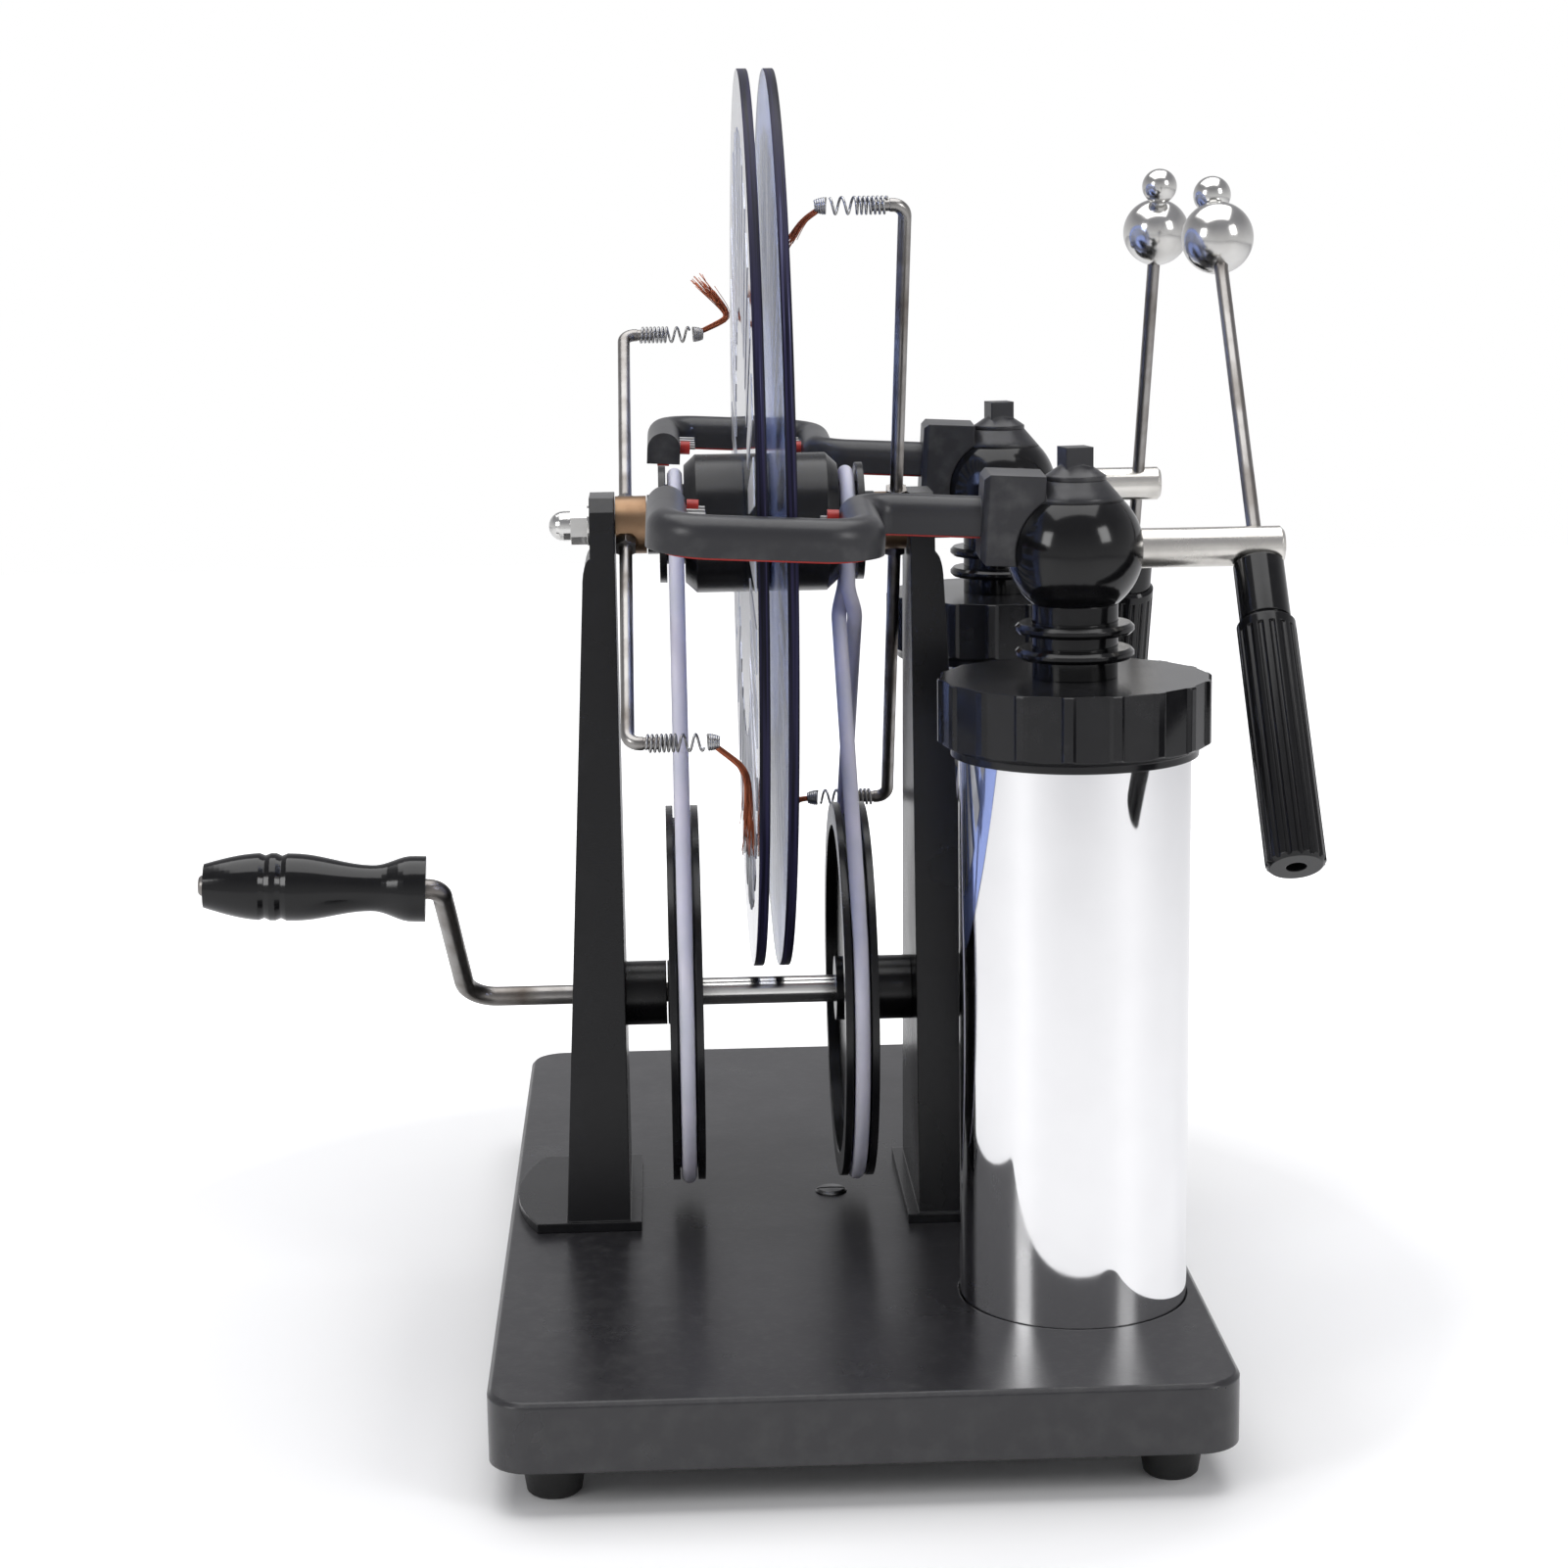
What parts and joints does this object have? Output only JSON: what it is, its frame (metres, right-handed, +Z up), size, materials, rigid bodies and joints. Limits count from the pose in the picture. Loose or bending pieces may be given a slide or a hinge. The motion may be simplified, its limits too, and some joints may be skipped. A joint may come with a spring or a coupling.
{
  "type": "electrostatic induction generator",
  "caption": "Hand-cranked electrostatic generator with contra-rotating acrylic discs, belt drive, neutraliser brushes, combs, storage jars and sliding spark rods on a rectangular base.",
  "frame": {"origin": "on the ground, under the middle of the whole machine's bounding box", "axes": "+X along the disc axle from the crank side to the jar side, +Y away from the viewer, +Z up"},
  "size_m": [0.3133, 0.341, 0.381],
  "materials": {
    "lacquered_base": "satin charcoal lacquer over board",
    "foot_rubber": "matt black rubber",
    "plated_steel": "zinc plated",
    "black_moulding": "black moulded plastic with a soft shine",
    "bright_steel": "drawn bright steel",
    "chrome_plate": "nickel chrome plate, polished",
    "bronze": "sintered bronze",
    "belt_polyurethane": "translucent polyurethane cord",
    "polished_jar_metal": "mirror polished",
    "clear_liner": "clear acrylic",
    "foil": "thin bright foil",
    "brass": "turned brass, slightly tarnished",
    "gloss_black": "polished black plastic",
    "collector_grey": "dark grey satin conductive plastic",
    "red_strip": "red plastic strip",
    "dark_steel": "blackened steel",
    "spring_steel": "bright spring wire",
    "copper_strands": "fine copper strands in a soldered ferrule",
    "blue_acrylic": "clear acrylic with a blue tint"
  },
  "bodies": {
    "machine": {"base_board": "lacquered_base", "rubber_feet": "foot_rubber", "base_underside_screws": "plated_steel", "centre_screw": "plated_steel", "crank_side_upright": "black_moulding", "jar_side_upright": "black_moulding", "disc_axle": "bright_steel", "axle_nuts": "chrome_plate", "axle_spacer": "bright_steel", "shaft_bushes": "bronze", "open_belt": "belt_polyurethane", "crossed_belt": "belt_polyurethane", "jar_tubes": "polished_jar_metal", "jar_liners": "clear_liner", "jar_foils": "foil", "jar_contacts": "brass", "jar_caps": "black_moulding", "neck_insulators": "black_moulding", "terminal_spheres": "gloss_black", "terminal_knobs": "gloss_black", "near_collector": "collector_grey", "far_collector": "collector_grey", "comb_strips": "red_strip", "comb_needles": "plated_steel"},
    "crank": {"crank_rod": "bright_steel", "shaft_spacer": "chrome_plate", "crank_side_pulley": "black_moulding", "jar_side_pulley": "black_moulding", "pulley_grub_screws": "dark_steel"},
    "handle": {"crank_handle": "gloss_black"},
    "crank_side_disc_body": {"crank_side_disc": "blue_acrylic", "crank_side_sectors": "foil", "crank_side_hub": "black_moulding", "crank_side_hub_plate": "black_moulding", "crank_side_hub_bushes": "bronze"},
    "crank_side_neutraliser": {"crank_side_collar": "brass", "crank_side_rods": "bright_steel", "crank_side_nuts": "plated_steel", "crank_side_springs": "spring_steel", "crank_side_upper_brush": "copper_strands", "crank_side_lower_brush": "copper_strands"},
    "jar_side_disc_body": {"jar_side_disc": "blue_acrylic", "jar_side_sectors": "foil", "jar_side_hub": "black_moulding", "jar_side_hub_plate": "black_moulding", "jar_side_hub_bushes": "bronze"},
    "jar_side_neutraliser": {"jar_side_collar": "brass", "jar_side_rods": "bright_steel", "jar_side_nuts": "plated_steel", "jar_side_springs": "spring_steel", "jar_side_upper_brush": "copper_strands", "jar_side_lower_brush": "copper_strands"},
    "near_arm": {"near_arm_tube": "bright_steel"},
    "near_spark_rod": {"near_discharge_rod": "bright_steel", "near_discharge_balls": "chrome_plate", "near_discharge_handle": "gloss_black"},
    "far_arm": {"far_arm_tube": "bright_steel"},
    "far_spark_rod": {"far_discharge_rod": "bright_steel", "far_discharge_balls": "chrome_plate", "far_discharge_handle": "gloss_black"}
  },
  "joints": [
    {"name": "crank_spin", "type": "hinge", "parent": "machine", "child": "crank", "pos_m": [0.0123, 0, 0.099], "axis": [1, 0, 0], "continuous": true},
    {"name": "handle_spin", "type": "hinge", "parent": "crank", "child": "handle", "pos_m": [-0.09012, -0.043, 0.14353], "axis": [-0.9976, -0.0485, 0.0502], "continuous": true},
    {"name": "crank_side_disc_spin", "type": "hinge", "parent": "machine", "child": "crank_side_disc_body", "pos_m": [0.0123, 0, 0.246], "axis": [1, 0, 0], "continuous": true},
    {"name": "jar_side_disc_spin", "type": "hinge", "parent": "machine", "child": "jar_side_disc_body", "pos_m": [0.0123, 0, 0.246], "axis": [1, 0, 0], "continuous": true},
    {"name": "crank_side_neutraliser_tilt", "type": "hinge", "parent": "machine", "child": "crank_side_neutraliser", "pos_m": [0.0123, 0, 0.246], "axis": [1, 0, 0], "range_deg": [-14, 26]},
    {"name": "jar_side_neutraliser_tilt", "type": "hinge", "parent": "machine", "child": "jar_side_neutraliser", "pos_m": [0.0123, 0, 0.246], "axis": [1, 0, 0], "range_deg": [-1, 32]},
    {"name": "near_arm_swing", "type": "hinge", "parent": "machine", "child": "near_arm", "pos_m": [0.0958, -0.095, 0.2468], "axis": [1, 0, 0], "range_deg": [-25, 60]},
    {"name": "far_arm_swing", "type": "hinge", "parent": "machine", "child": "far_arm", "pos_m": [0.0958, 0.095, 0.2468], "axis": [1, 0, 0], "range_deg": [-60, 20]},
    {"name": "near_rod_slide", "type": "slide", "parent": "near_arm", "child": "near_spark_rod", "axis": [0, 0.6157, 0.788], "range_m": [-0.08, 0]},
    {"name": "far_rod_slide", "type": "slide", "parent": "far_arm", "child": "far_spark_rod", "axis": [0, -0.3859, 0.9225], "range_m": [-0.066, 0.014]}
  ],
  "couplings": [
    {"joint": "crank_side_disc_spin", "follows": "crank_spin", "ratio": 3.898},
    {"joint": "jar_side_disc_spin", "follows": "crank_spin", "ratio": -3.898}
  ]
}
